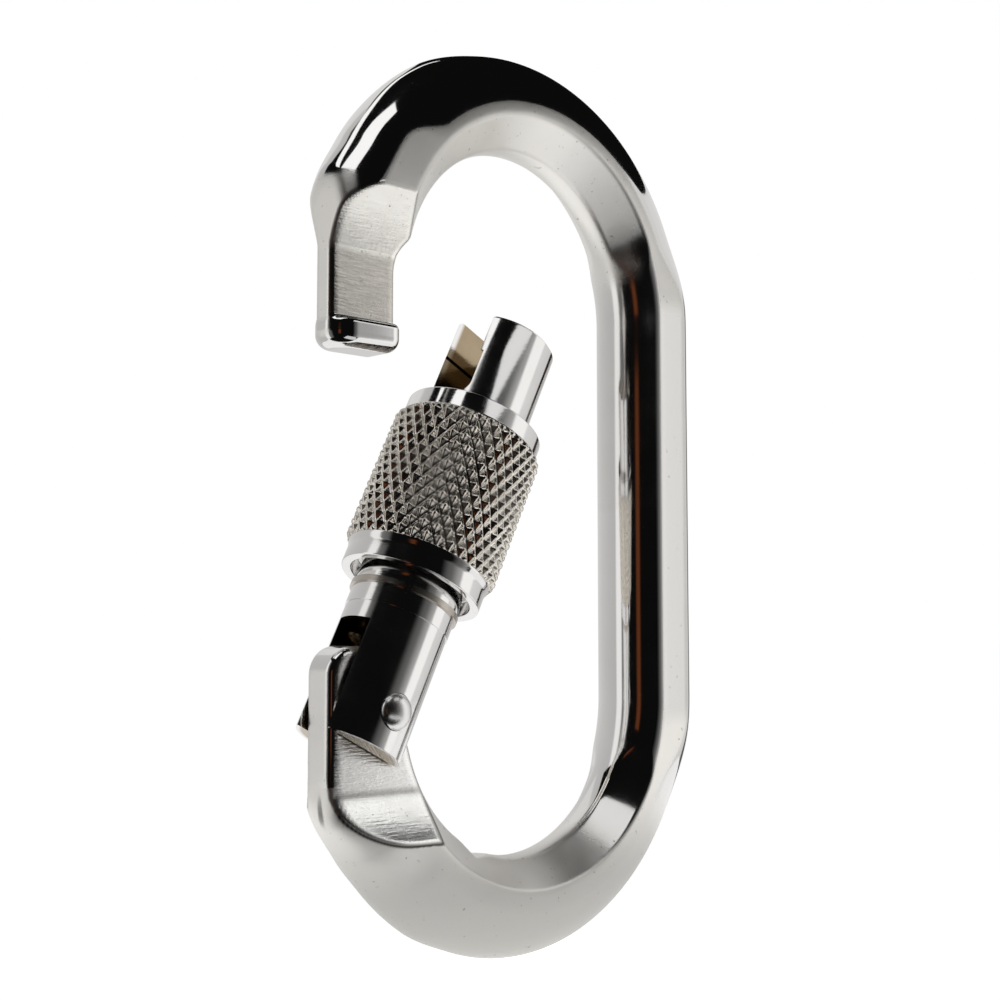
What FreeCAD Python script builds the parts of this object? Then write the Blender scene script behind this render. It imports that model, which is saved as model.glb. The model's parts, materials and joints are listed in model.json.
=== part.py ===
import FreeCAD, Part
import math
import os
import Sketcher
from FreeCAD import Rotation, Vector

# Oval steel carabiner with a screw-lock gate, drawn with the gate open.
# +Z runs along the long axis towards the nose, +X from the gate to the spine, and
# +Y from the front face to the rear face.  The origin is the load point: the middle
# of the inside of the top bend.  The body is drawn about the centre of the oval, and
# the gate pieces about the hinge axis with their own +Z along the gate.

DIMENSIONS = {
    # oval bar
    "oval_height": 110.0,
    "oval_width": 60.8,
    "bar_dia": 12.0,
    "side_flat_half": 5.5,
    "gate_face_x": 29.5,
    # fuller corners of the gate side, and the part of each bend that they grow from
    "corner_half": 3.3,
    "corner_sink": 0.3,
    "corner_outer_angle": 40.0,
    "corner_far_angle": 62.0,
    "corner_near_angle": 30.0,
    "corner_low_z": 37.3,
    "corner_top_z": 34.0,
    # hinge position, measured from the centre of the oval
    "hinge_x": 23.5,
    "hinge_z": 24.9,
    "open_angle": 26.9,
    # nose
    "nose_tip_z": 15.2,
    "tee_top_z": 18.6,
    "tee_half": 3.1,
    "nose_web_half": 1.45,
    "nose_fold_z": 27.0,
    "nose_ramp_z": 33.6,
    "nose_inner_x": 20.6,
    "nose_shoulder_z": 25.4,
    "nose_shoulder_radius": 4.0,
    "tee_chamfer": 1.2,
    "tee_round": 2.5,
    # hinge lug
    "lug_half": 2.2,
    "lug_top": 7.1,
    "lug_corner_radius": 3.2,
    "lug_inner_corner": 1.0,
    "lug_inner_x": 19.83,
    "lug_waist_z": 27.0,
    "lug_shoulder_x": 17.2,
    "lug_shoulder_z": 31.0,
    "lug_fold_z": 34.2,
    "lug_ramp_z": 39.4,
    "ramp_radius": 14.0,
    "pin_clearance": 0.08,
    # gate tube
    "gate_radius": 6.2,
    "gate_low_radius": 6.1,
    "gate_step": 10.8,
    "gate_top": 49.7,
    "gate_bottom": 4.4,
    "gate_edge": 0.4,
    "tee_slot_half": 3.35,
    "tee_slot_floor": 38.2,
    "tee_slot_corner": 2.0,
    "lip_slot_half": 3.0,
    "lip_bottom": 44.6,
    "tee_slot_depth": 3.3,
    "lug_slot_half": 2.65,
    "lug_slot_top": 8.7,
    "stop_wall_x": 4.0,
    "stop_wall_bottom": 0.5,
    "spring_bore_radius": 2.1,
    "spring_bore_top": 30.0,
    # sleeve stop ring and its groove
    "ring_bottom": 13.05,
    "ring_height": 0.7,
    "ring_radius": 6.5,
    "groove_radius": 5.9,
    "ring_gap": 0.3,
    "ring_gap_turn": 49.0,
    # locking sleeve
    "sleeve_bottom": 15.3,
    "sleeve_top": 37.7,
    "sleeve_radius": 9.18,
    "collar_radius": 8.4,
    "low_collar_top": 17.4,
    "knurl_bottom": 18.2,
    "knurl_top": 35.4,
    "sleeve_bore": 6.28,
    "recess_radius": 7.3,
    "recess_depth": 2.0,
    "sleeve_edge": 0.3,
    # hinge rivet
    "rivet_radius": 1.75,
    "rivet_head_radius": 2.05,
    "rivet_seat": 5.55,
    "rivet_rim": 5.9,
    "rivet_dome": 1.25,
    "spot_face_radius": 2.1,
    # plunger and spring inside the gate
    "plunger_radius": 2.0,
    "plunger_tip_radius": 1.9,
    "plunger_lift": 9.69,
    "plunger_body": 5.5,
    "spigot_radius": 0.9,
    "spigot_length": 2.0,
    "wire_radius": 0.25,
    "coil_radius": 1.5,
    "coil_pitch": 1.3,
    "coil_gap": 0.02,
}


def make_sheet(doc):
    """Put every driving dimension in the spreadsheet, one row each."""
    sheet = doc.addObject("Spreadsheet::Sheet", "Sheet")
    for row, (name, value) in enumerate(DIMENSIONS.items(), start=1):
        sheet.set(f"A{row}", name)
        sheet.set(f"B{row}", str(value))
        sheet.setAlias(f"B{row}", name)
    doc.recompute()
    return sheet


def on_sheet(expression):
    """Write an expression over the sheet's aliases in full, as the document reads it."""
    for name in sorted(DIMENSIONS, key=len, reverse=True):
        expression = expression.replace("$" + name, "Sheet." + name)
    return expression


def make_body(doc, name):
    body = doc.addObject("PartDesign::Body", name)
    body.Label = name
    return body


def make_sketch(body, name, plane, offset="0"):
    """Add a sketch on one of the body's origin planes, moved along the plane's normal."""
    sketch = body.newObject("Sketcher::SketchObject", name)
    planes = [item for item in body.Origin.OriginFeatures if item.Role == plane]
    sketch.AttachmentSupport = (planes[0], [""])
    sketch.MapMode = "FlatFace"
    sketch.setExpression(".AttachmentOffset.Base.z", on_sheet(offset))
    body.Document.recompute()
    return sketch


def pin_point(sketch, index, end, x, y):
    """Hold one end of a line or arc, or a circle's centre, at a place read from the sheet."""
    for kind, expression in (("DistanceX", x), ("DistanceY", y)):
        value = float(sketch.evalExpression(on_sheet(expression)))
        if abs(value) < 1e-9:
            other = -2 if kind == "DistanceX" else -1
            sketch.addConstraint(Sketcher.Constraint("PointOnObject", index, end, other))
            continue
        row = sketch.addConstraint(Sketcher.Constraint(kind, -1, 1, index, end, value))
        sketch.setExpression(f"Constraints[{row}]", on_sheet(expression))


def arc_between(start, end, radius):
    """Arc from start to end: anticlockwise for a positive radius, clockwise for a negative one."""
    chord = end - start
    middle = (start + end) * 0.5
    rise = math.sqrt(max(radius * radius - chord.Length ** 2 / 4, 0.0))
    normal = Vector(-chord.y, chord.x, 0).normalize()
    centre = middle + normal * math.copysign(rise, radius)
    first = math.atan2(start.y - centre.y, start.x - centre.x)
    last = math.atan2(end.y - centre.y, end.x - centre.x)
    if radius < 0:
        first, last = last, first
    circle = Part.Circle(centre, Vector(0, 0, 1), abs(radius))
    return Part.ArcOfCircle(circle, first, last)


def draw_outline(sketch, corners, closed=True):
    """Draw straight and round edges through the corners.

    A corner is (x, y), or (x, y, radius) where the edge that leaves it is an arc.
    """
    points = []
    for corner in corners:
        x, y = (float(sketch.evalExpression(on_sheet(text))) for text in corner[:2])
        points.append(Vector(x, y, 0))
    count = len(corners) if closed else len(corners) - 1
    ends = []
    for number in range(count):
        start, end = points[number], points[(number + 1) % len(points)]
        if len(corners[number]) == 2:
            index = sketch.addGeometry(Part.LineSegment(start, end))
            ends.append((index, 1, 2))
            continue
        radius = float(sketch.evalExpression(on_sheet(corners[number][2])))
        index = sketch.addGeometry(arc_between(start, end, radius))
        ends.append((index, 1, 2) if radius > 0 else (index, 2, 1))
        row = sketch.addConstraint(Sketcher.Constraint("Radius", index, abs(radius)))
        sketch.setExpression(f"Constraints[{row}]", on_sheet(f"abs({corners[number][2]})"))
    for number in range(count):
        index, start_end, last_end = ends[number]
        pin_point(sketch, index, start_end, *corners[number][:2])
        if number + 1 < count or closed:
            following = ends[(number + 1) % count]
            link = ("Coincident", index, last_end, following[0], following[1])
            sketch.addConstraint(Sketcher.Constraint(*link))
    if not closed:
        pin_point(sketch, ends[-1][0], ends[-1][2], *corners[-1][:2])


def draw_circle(sketch, x, y, radius):
    values = [float(sketch.evalExpression(on_sheet(text))) for text in (x, y, radius)]
    circle = Part.Circle(Vector(values[0], values[1], 0), Vector(0, 0, 1), values[2])
    index = sketch.addGeometry(circle)
    pin_point(sketch, index, 3, x, y)
    row = sketch.addConstraint(Sketcher.Constraint("Radius", index, values[2]))
    sketch.setExpression(f"Constraints[{row}]", on_sheet(radius))


def cut_through(body, name, sketch, length):
    """Cut the sketch's outlines out of the body, half of the length to each side of its plane."""
    before = body.Shape.Volume
    pocket = body.newObject("PartDesign::Pocket", name)
    pocket.Profile = sketch
    pocket.SideType = "Symmetric"
    pocket.setExpression("Length", on_sheet(length))
    body.Document.recompute()
    if not body.Shape.Volume < before - 1e-3:
        raise RuntimeError(name + " removes nothing")
    return pocket


def add_through(body, name, sketch, length):
    """Add the sketch's outlines to the body, half of the length to each side of its plane."""
    pad = body.newObject("PartDesign::Pad", name)
    pad.Profile = sketch
    pad.SideType = "Symmetric"
    pad.setExpression("Length", on_sheet(length))
    body.Document.recompute()
    return pad


def revolve(body, name, corners, plane="XZ_Plane"):
    """Turn a half section, drawn as (radius, height), about the height axis of its plane."""
    sketch = make_sketch(body, name + "_section", plane)
    draw_outline(sketch, corners)
    turned = body.newObject("PartDesign::Revolution", name)
    turned.Profile = sketch
    turned.ReferenceAxis = (sketch, ["V_Axis"])
    turned.Angle = 360
    body.Document.recompute()
    return turned


def place_on_gate(body, turn="0"):
    """Stand a gate piece on the hinge axis, tilted by the angle that the gate is open."""
    body.setExpression(".Placement.Base.x", on_sheet("-$hinge_x"))
    body.setExpression(".Placement.Base.z", on_sheet("-$hinge_z - ($oval_height / 2 - $bar_dia)"))
    tilt = Rotation(Vector(0, 1, 0), body.evalExpression("Sheet.open_angle"))
    spin = Rotation(Vector(0, 0, 1), body.evalExpression(on_sheet(turn)))
    body.Placement.Rotation = tilt * spin
    body.Document.recompute()


# Distances on the oval, about its centre.
ARM_X = "(($oval_width - $bar_dia) / 2)"
BEND_Z = "($oval_height / 2 - $bar_dia / 2 - " + ARM_X + ")"
BAR = "($bar_dia / 2)"
OUTER = "(" + ARM_X + " + " + BAR + ")"


def bend_bar(body):
    """Round bar bent to the oval: spine, two half-circle bends, nose arm and lug arm."""
    spine = make_sketch(body, "spine_section", "XY_Plane")
    draw_circle(spine, ARM_X, "0", BAR)
    add_through(body, "spine", spine, "2 * " + BEND_Z)
    bends = (("top_bend", BEND_Z, False), ("low_bend", "-" + BEND_Z, True))
    for name, level, downwards in bends:
        section = make_sketch(body, name + "_section", "XY_Plane", level)
        draw_circle(section, ARM_X, "0", BAR)
        bend = body.newObject("PartDesign::Revolution", name)
        bend.Profile = section
        bend.ReferenceAxis = (section, ["V_Axis"])
        bend.Angle = 180
        bend.Reversed = not downwards
        body.Document.recompute()
    arms = (("nose_arm", "$nose_tip_z", BEND_Z), ("lug_arm", "-" + BEND_Z, "($lug_top - $hinge_z)"))
    for name, low, high in arms:
        section = make_sketch(body, name + "_section", "XY_Plane", f"({low} + {high}) / 2")
        draw_circle(section, "-" + ARM_X, "0", BAR)
        add_through(body, name, section, f"{high} - {low}")


def add_corners(body):
    """Fuller metal where the gate side runs into the two bends."""
    sunk = f"({ARM_X} + sqrt({BAR} ^ 2 - $corner_half ^ 2) - $corner_sink)"
    around = (
        (OUTER, "$corner_outer_angle"),
        (sunk, "$corner_far_angle"),
        (ARM_X, "$corner_far_angle"),
        (ARM_X, "$corner_near_angle"),
    )
    corners = (("low_corner", "-", "$corner_low_z"), ("top_corner", "", "$corner_top_z"))
    for name, sign, corner_z in corners:
        sketch = make_sketch(body, name + "_outline", "XZ_Plane")
        outline = [("-$gate_face_x", f"{sign}{BEND_Z}"), ("-$gate_face_x", f"{sign}{corner_z}")]
        for radius, angle in around:
            along = f"-{radius} * cos({angle})"
            outline.append((along, f"{sign}({BEND_Z} + {radius} * sin({angle}))"))
        draw_outline(sketch, outline)
        add_through(body, name, sketch, "2 * $corner_half")


def cut_flats(body):
    """Flatten the front and rear of the bar."""
    far = "$oval_height"
    sides = make_sketch(body, "side_flat_outline", "YZ_Plane")
    for sign in ("", "-"):
        draw_outline(sides, [
            (f"{sign}$side_flat_half", "-" + far),
            (f"{sign}$bar_dia", "-" + far),
            (f"{sign}$bar_dia", far),
            (f"{sign}$side_flat_half", far),
        ])
    cut_through(body, "side_flats", sides, "2 * $oval_width")


def cut_gate_face(body):
    """Plane the outside of the gate side, from corner to corner."""
    face = make_sketch(body, "gate_face_outline", "XZ_Plane")
    draw_outline(face, [
        ("-$gate_face_x", "-$oval_height / 2"),
        ("-$gate_face_x", "$oval_height / 2"),
        ("-$oval_width", "$oval_height / 2"),
        ("-$oval_width", "-$oval_height / 2"),
    ])
    cut_through(body, "gate_face", face, "2 * $bar_dia")


def cut_nose(body):
    """Tee head, thin web and run-out ramp of the nose."""
    half = make_sketch(body, "nose_section", "YZ_Plane", "-" + ARM_X)
    for side, turn in (("", "-"), ("-", "")):
        draw_outline(half, [
            (f"{side}($tee_half - $tee_chamfer)", "$nose_tip_z - 1"),
            (f"{side}($tee_half - $tee_chamfer)", "$nose_tip_z"),
            (f"{side}$tee_half", "$nose_tip_z + $tee_chamfer"),
            (f"{side}$tee_half", "$tee_top_z"),
            (f"{side}$nose_web_half", "$tee_top_z"),
            (f"{side}$nose_web_half", "$nose_fold_z", f"{turn}$ramp_radius"),
            (f"{side}$side_flat_half", "$nose_ramp_z"),
            (f"{side}$bar_dia", "$nose_ramp_z"),
            (f"{side}$bar_dia", "$nose_tip_z - 1"),
        ])
    cut_through(body, "nose_web", half, "$bar_dia + 2")
    plan = make_sketch(body, "tee_plan_outline", "XY_Plane", "($nose_tip_z + $tee_top_z) / 2")
    for side, turn in (("", "-"), ("-", "")):
        draw_outline(plan, [
            ("-$gate_face_x", f"{side}($tee_half - $tee_round)", turn + "$tee_round"),
            ("-$gate_face_x + $tee_round", f"{side}$tee_half"),
            ("-$gate_face_x + $tee_round", f"{side}$bar_dia"),
            ("-$oval_width", f"{side}$bar_dia"),
            ("-$oval_width", f"{side}($tee_half - $tee_round)"),
        ])
    cut_through(body, "tee_plan", plan, "$tee_top_z - $nose_tip_z")
    inner = make_sketch(body, "nose_inner_outline", "XZ_Plane")
    draw_outline(inner, [
        ("-$nose_inner_x", "$nose_tip_z - 1"),
        ("-$nose_inner_x", "$nose_shoulder_z", "-$nose_shoulder_radius"),
        ("-$nose_inner_x + $nose_shoulder_radius", "$nose_shoulder_z + $nose_shoulder_radius"),
        (f"-{ARM_X} + $bar_dia", "$nose_shoulder_z + $nose_shoulder_radius"),
        (f"-{ARM_X} + $bar_dia", "$nose_tip_z - 1"),
    ])
    cut_through(body, "nose_inner", inner, "2 * $bar_dia")


def cut_lug(body):
    """Thin hinge lug with its run-out ramp, rounded top corners and pin hole."""
    half = make_sketch(body, "lug_section", "YZ_Plane", "-" + ARM_X)
    above = "-$hinge_z + $lug_top + 1"
    for side, turn in (("", ""), ("-", "-")):
        draw_outline(half, [
            (f"{side}$lug_half", above),
            (f"{side}$lug_half", "-$lug_fold_z", f"{turn}$ramp_radius"),
            (f"{side}$side_flat_half", "-$lug_ramp_z"),
            (f"{side}$bar_dia", "-$lug_ramp_z"),
            (f"{side}$bar_dia", above),
        ])
    cut_through(body, "lug_web", half, "2 * $bar_dia")
    top = make_sketch(body, "lug_top_outline", "XZ_Plane")
    level = "-$hinge_z + $lug_top"
    draw_outline(top, [
        ("-$gate_face_x", f"{level} - $lug_corner_radius", "-$lug_corner_radius"),
        ("-$gate_face_x + $lug_corner_radius", level),
        ("-$gate_face_x + $lug_corner_radius", above),
        ("-$gate_face_x - 2", above),
        ("-$gate_face_x - 2", f"{level} - $lug_corner_radius"),
    ])
    beyond = f"-{ARM_X} + $bar_dia"
    draw_outline(top, [
        ("-$lug_inner_x - $lug_inner_corner", level, "-$lug_inner_corner"),
        ("-$lug_inner_x", f"{level} - $lug_inner_corner"),
        ("-$lug_inner_x", "-$lug_waist_z"),
        ("-$lug_shoulder_x", "-$lug_shoulder_z"),
        (beyond, "-$lug_shoulder_z"),
        (beyond, above),
        ("-$lug_inner_x - $lug_inner_corner", above),
    ])
    cut_through(body, "lug_top_corners", top, "2 * $bar_dia")
    hole = make_sketch(body, "pin_hole_outline", "XZ_Plane")
    draw_circle(hole, "-$hinge_x", "-$hinge_z", "$rivet_radius + $pin_clearance")
    cut_through(body, "pin_hole", hole, "2 * $bar_dia")


def make_oval_body(doc):
    body = make_body(doc, "oval_body")
    bend_bar(body)
    cut_flats(body)
    cut_gate_face(body)
    add_corners(body)
    cut_nose(body)
    cut_lug(body)
    body.setExpression(".Placement.Base.z", on_sheet("-($oval_height / 2 - $bar_dia)"))
    return body


def make_gate_tube(doc):
    """Turned gate: bored from below for the spring, slotted at both ends, grooved for the ring."""
    body = make_body(doc, "gate_tube")
    revolve(body, "turned_tube", [
        ("0", "$spring_bore_top"),
        ("0", "$gate_top"),
        ("$gate_radius - $gate_edge", "$gate_top"),
        ("$gate_radius", "$gate_top - $gate_edge"),
        ("$gate_radius", "$ring_bottom + $ring_height"),
        ("$groove_radius", "$ring_bottom + $ring_height"),
        ("$groove_radius", "$ring_bottom"),
        ("$gate_radius", "$ring_bottom"),
        ("$gate_radius", "$gate_step"),
        ("$gate_low_radius", "$gate_step"),
        ("$gate_low_radius", "-$gate_bottom"),
        ("$spring_bore_radius", "-$gate_bottom"),
        ("$spring_bore_radius", "$spring_bore_top"),
    ])
    side = "2 * $gate_radius"
    lug_slot = make_sketch(body, "lug_slot_outline", "XZ_Plane")
    draw_outline(lug_slot, [
        ("-" + side, "-$gate_bottom - 1"),
        ("-" + side, "$lug_slot_top"),
        ("$stop_wall_x", "$lug_slot_top"),
        ("$stop_wall_x", "$stop_wall_bottom"),
        (side, "$stop_wall_bottom"),
        (side, "-$gate_bottom - 1"),
    ])
    cut_through(body, "lug_slot", lug_slot, "2 * $lug_slot_half")
    middle = "-($gate_radius + 1 - $tee_slot_depth) / 2"
    tee_slot = make_sketch(body, "tee_slot_outline", "YZ_Plane", middle)
    floor = "$tee_slot_floor"
    bend = "$tee_slot_corner"
    draw_outline(tee_slot, [
        ("-$tee_slot_half", f"{floor} + {bend}", bend),
        (f"-$tee_slot_half + {bend}", floor),
        (f"$tee_slot_half - {bend}", floor, bend),
        ("$tee_slot_half", f"{floor} + {bend}"),
        ("$tee_slot_half", "$lip_bottom"),
        ("$lip_slot_half", "$lip_bottom"),
        ("$lip_slot_half", "$gate_top + 1"),
        ("-$lip_slot_half", "$gate_top + 1"),
        ("-$lip_slot_half", "$lip_bottom"),
        ("-$tee_slot_half", "$lip_bottom"),
    ])
    cut_through(body, "tee_slot", tee_slot, "$gate_radius + 1 + $tee_slot_depth")
    hole = make_sketch(body, "rivet_hole_outline", "XZ_Plane")
    draw_circle(hole, "0", "0", "$rivet_radius")
    cut_through(body, "rivet_hole", hole, "4 * $gate_radius")
    for name, sign in (("front_spot_face", "-"), ("rear_spot_face", "")):
        seat = make_sketch(body, name + "_outline", "XZ_Plane", f"{sign}($rivet_seat + 1)")
        draw_circle(seat, "0", "0", "$spot_face_radius")
        cut_through(body, name, seat, "2")
    place_on_gate(body)
    return body


def make_hinge_rivet(doc):
    """Rivet through both gate cheeks and the lug, with a domed head in a spot face at each end."""
    body = make_body(doc, "hinge_rivet")
    crown = "($rivet_rim + $rivet_dome)"
    curve = "(($rivet_head_radius ^ 2 + $rivet_dome ^ 2) / (2 * $rivet_dome))"
    revolve(body, "rivet", [
        ("0", f"-{crown}", curve),
        ("$rivet_head_radius", "-$rivet_rim"),
        ("$rivet_head_radius", "-$rivet_seat"),
        ("$rivet_radius", "-$rivet_seat"),
        ("$rivet_radius", "$rivet_seat"),
        ("$rivet_head_radius", "$rivet_seat"),
        ("$rivet_head_radius", "$rivet_rim", curve),
        ("0", crown),
    ], "XY_Plane")
    place_on_gate(body)
    return body


def make_stop_ring(doc):
    """Split ring snapped into the gate's groove, which stops the sleeve on its way down."""
    body = make_body(doc, "sleeve_stop_ring")
    revolve(body, "ring", [
        ("$groove_radius", "$ring_bottom"),
        ("$ring_radius", "$ring_bottom"),
        ("$ring_radius", "$ring_bottom + $ring_height"),
        ("$groove_radius", "$ring_bottom + $ring_height"),
    ])
    gap = make_sketch(body, "gap_outline", "XY_Plane", "$ring_bottom")
    draw_outline(gap, [
        ("-2 * $ring_radius", "-$ring_gap / 2"),
        ("0", "-$ring_gap / 2"),
        ("0", "$ring_gap / 2"),
        ("-2 * $ring_radius", "$ring_gap / 2"),
    ])
    cut_through(body, "gap", gap, "4 * $ring_height")
    place_on_gate(body, "$ring_gap_turn")
    return body


def make_locking_sleeve(doc):
    """Knurled sleeve that screws up the gate and over the nose, with a recess for the ring."""
    body = make_body(doc, "locking_sleeve")
    edge = "$sleeve_edge"
    revolve(body, "turned_sleeve", [
        ("$recess_radius", "$sleeve_bottom"),
        (f"$collar_radius - {edge}", "$sleeve_bottom"),
        ("$collar_radius", f"$sleeve_bottom + {edge}"),
        ("$collar_radius", "$low_collar_top"),
        ("$sleeve_radius", "$knurl_bottom"),
        ("$sleeve_radius", "$knurl_top"),
        ("$collar_radius", "$knurl_top"),
        ("$collar_radius", f"$sleeve_top - {edge}"),
        (f"$collar_radius - {edge}", "$sleeve_top"),
        (f"$sleeve_bore + {edge}", "$sleeve_top"),
        ("$sleeve_bore", f"$sleeve_top - {edge}"),
        ("$sleeve_bore", "$sleeve_bottom + $recess_depth"),
        ("$recess_radius", "$sleeve_bottom + $recess_depth"),
    ])
    place_on_gate(body)
    return body


def make_plunger(doc):
    """Round-nosed plunger in the gate's bore, with a spigot that centres the spring."""
    body = make_body(doc, "spring_plunger")
    tip = "$plunger_tip_radius"
    shoulder = "$plunger_lift + $plunger_body"
    revolve(body, "plunger", [
        ("0", f"$plunger_lift - {tip}", tip),
        (tip, "$plunger_lift"),
        ("$plunger_radius", "$plunger_lift"),
        ("$plunger_radius", shoulder),
        ("$spigot_radius", shoulder),
        ("$spigot_radius", f"{shoulder} + $spigot_length"),
        ("0", f"{shoulder} + $spigot_length"),
    ])
    place_on_gate(body)
    return body


def make_gate_spring(doc):
    """Compression spring between the plunger's shoulder and the end of the bore."""
    body = make_body(doc, "gate_spring")
    start = "($plunger_lift + $plunger_body + $wire_radius + $coil_gap)"
    section = make_sketch(body, "wire_section", "XZ_Plane")
    draw_circle(section, "$coil_radius", start, "$wire_radius")
    coil = body.newObject("PartDesign::AdditiveHelix", "coil")
    coil.Profile = section
    coil.ReferenceAxis = (section, ["V_Axis"])
    coil.Mode = "pitch-height-angle"
    coil.setExpression("Pitch", on_sheet("$coil_pitch"))
    end = "($spring_bore_top - $wire_radius - $coil_gap)"
    coil.setExpression("Height", on_sheet(f"{end} - {start}"))
    doc.recompute()
    place_on_gate(body)
    return body


def check_document(doc, bodies):
    """Stop if any object failed to rebuild or any piece is not one sound solid."""
    failed = [item.Name for item in doc.Objects if {"Invalid", "Error"} & set(item.State)]
    if failed:
        raise RuntimeError("failed objects: " + ", ".join(failed))
    for body in bodies:
        shape = body.Shape
        if shape.isNull() or not shape.isValid() or len(shape.Solids) != 1:
            raise RuntimeError(body.Label + " is not one valid solid")


def main():
    doc = FreeCAD.newDocument("oval_carabiner")
    make_sheet(doc)
    makers = [
        make_oval_body,
        make_gate_tube,
        make_hinge_rivet,
        make_stop_ring,
        make_locking_sleeve,
        make_plunger,
        make_gate_spring,
    ]
    bodies = [maker(doc) for maker in makers]
    doc.recompute()
    check_document(doc, bodies)
    os.makedirs("parts", exist_ok=True)
    for body in bodies:
        body.Shape.exportStep(f"parts/{body.Label}.step")
        box = body.Shape.optimalBoundingBox(False)
        print(f"{body.Label}: {body.Shape.Volume:.1f} mm3, x {box.XMin:.2f} to {box.XMax:.2f}, "
              f"y {box.YMin:.2f} to {box.YMax:.2f}, z {box.ZMin:.2f} to {box.ZMax:.2f}")


main()
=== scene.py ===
import json
import math

import bpy
import numpy as np
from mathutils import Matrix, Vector


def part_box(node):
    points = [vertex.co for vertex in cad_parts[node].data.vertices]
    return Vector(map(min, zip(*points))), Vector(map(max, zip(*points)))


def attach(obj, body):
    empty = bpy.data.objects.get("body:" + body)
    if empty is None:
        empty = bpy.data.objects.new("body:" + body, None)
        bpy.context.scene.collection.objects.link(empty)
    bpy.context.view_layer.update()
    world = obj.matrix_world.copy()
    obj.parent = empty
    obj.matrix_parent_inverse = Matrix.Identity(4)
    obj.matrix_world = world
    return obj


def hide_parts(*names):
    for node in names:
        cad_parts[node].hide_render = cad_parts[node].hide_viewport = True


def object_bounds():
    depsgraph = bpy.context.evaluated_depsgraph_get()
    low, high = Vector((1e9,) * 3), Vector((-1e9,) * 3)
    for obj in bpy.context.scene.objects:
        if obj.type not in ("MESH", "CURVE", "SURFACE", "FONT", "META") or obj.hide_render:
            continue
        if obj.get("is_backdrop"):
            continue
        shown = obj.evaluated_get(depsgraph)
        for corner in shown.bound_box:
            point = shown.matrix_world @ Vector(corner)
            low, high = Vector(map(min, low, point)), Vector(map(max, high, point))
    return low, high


# Oval screw-lock carabiner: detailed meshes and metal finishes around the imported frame.
# Shapes are worked out in millimetres about the centre of the oval, and turned into the
# frame's metres where a mesh is made.

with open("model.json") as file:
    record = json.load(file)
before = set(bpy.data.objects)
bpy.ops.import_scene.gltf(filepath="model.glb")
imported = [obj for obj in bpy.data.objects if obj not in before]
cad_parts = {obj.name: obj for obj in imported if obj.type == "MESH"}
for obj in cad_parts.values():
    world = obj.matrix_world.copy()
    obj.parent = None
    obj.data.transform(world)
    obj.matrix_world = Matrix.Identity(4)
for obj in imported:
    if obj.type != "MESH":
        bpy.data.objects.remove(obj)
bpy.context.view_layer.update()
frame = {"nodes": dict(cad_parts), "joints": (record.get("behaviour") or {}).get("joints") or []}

MM = 0.001

# ---- driving dimensions, from the frame ----
body_low, body_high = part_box("oval_body")
CENTRE_Z = (body_low.z + body_high.z) / 2
HALF_HEIGHT = (body_high.z - body_low.z) / 2 / MM
OUTER_X = body_high.x / MM
BAR_R = 6.0
ARM_X = OUTER_X - BAR_R
BEND_Z = HALF_HEIGHT - OUTER_X

joints = {joint["name"]: joint for joint in frame["joints"]}
HINGE = Vector(joints["gate_hinge"]["pos_m"])
GATE_UP = Vector(joints["sleeve_travel"]["axis"]).normalized()
GATE_FRONT = Vector((0, -1, 0))
GATE_IN = GATE_FRONT.cross(GATE_UP)

# ---- body details, mm ----
FLAT_Y = 5.5
GATE_FACE_X = -29.5
NOSE_TIP_Z = 15.3
NOSE_START_Z = 17.0
TEE_TOP_Z = 18.7
TEE_HALF = 3.1
NOSE_WEB = 1.45
NOSE_FOLD_Z = 27.0
NOSE_RAMP_Z = 33.6
NOSE_INNER_X = -20.25
NOSE_SHOULDER_Z = 24.6
NOSE_SHOULDER_R = 6.0
LUG_WEB = 2.2
LUG_TOP_Z = -17.8
LUG_START_Z = -21.0
LUG_INNER_X = -19.83
LUG_CORNER_R = 3.2
LUG_WAIST_Z = -27.0
LUG_FOLD_Z = 34.2
LUG_RAMP_Z = 39.4
RAMP_R = 14.0
SWAGE_U = -0.6
CROWN_Y = 5.85
FLAT_U = 2.4
GATE_SIDE_X = -12.0


# ---- distance functions ----
def step(low, high, value):
    """Smooth rise from 0 at low to 1 at high."""
    share = np.clip((value - low) / (high - low), 0, 1)
    return share * share * (3 - 2 * share)


def eased(value, stations, levels):
    """Levels joined by smooth rises and falls between the stations."""
    total = np.full_like(value, levels[0])
    for number in range(1, len(stations)):
        rise = step(stations[number - 1], stations[number], value)
        total = total + (levels[number] - levels[number - 1]) * rise
    return total


def both(a, b, radius):
    """Inside both shapes, with a rounded outer edge."""
    return np.minimum(-radius, np.maximum(a, b)) + np.hypot(
        np.maximum(a + radius, 0), np.maximum(b + radius, 0))


def either(a, b, radius):
    """Inside one shape or the other, with a filleted inner corner."""
    return np.maximum(radius, np.minimum(a, b)) - np.hypot(
        np.maximum(radius - a, 0), np.maximum(radius - b, 0))


def oval_place(x, z):
    """Outward distance from the bar's centre line, and degrees round the bend from the gate side."""
    past = np.maximum(np.abs(z) - BEND_Z, 0)
    outward = np.hypot(x, past) - ARM_X
    degrees = np.degrees(np.arctan2(past, -x))
    return outward, degrees


def swaged(z, degrees):
    """Share of the pressed crown section: 1 on the bends, 0 on the straight runs."""
    top = step(34, 50, degrees) * (1 - step(154, 176, degrees))
    low = step(24, 46, degrees) * (1 - step(150, 174, degrees))
    return np.where(z > 0, top, low)


def fuller(z, degrees):
    """Extra metal on the outside of the bends, towards the gate."""
    top = eased(degrees, [0, 20, 30, 58, 78], [0.9, 0.85, 0.47, 0.42, 0.0])
    low = eased(degrees, [0, 22, 33, 42, 56, 70], [1.3, 1.3, 0.72, 0.5, 0.42, 0.0])
    return np.where(z > 0, top, low)


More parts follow.
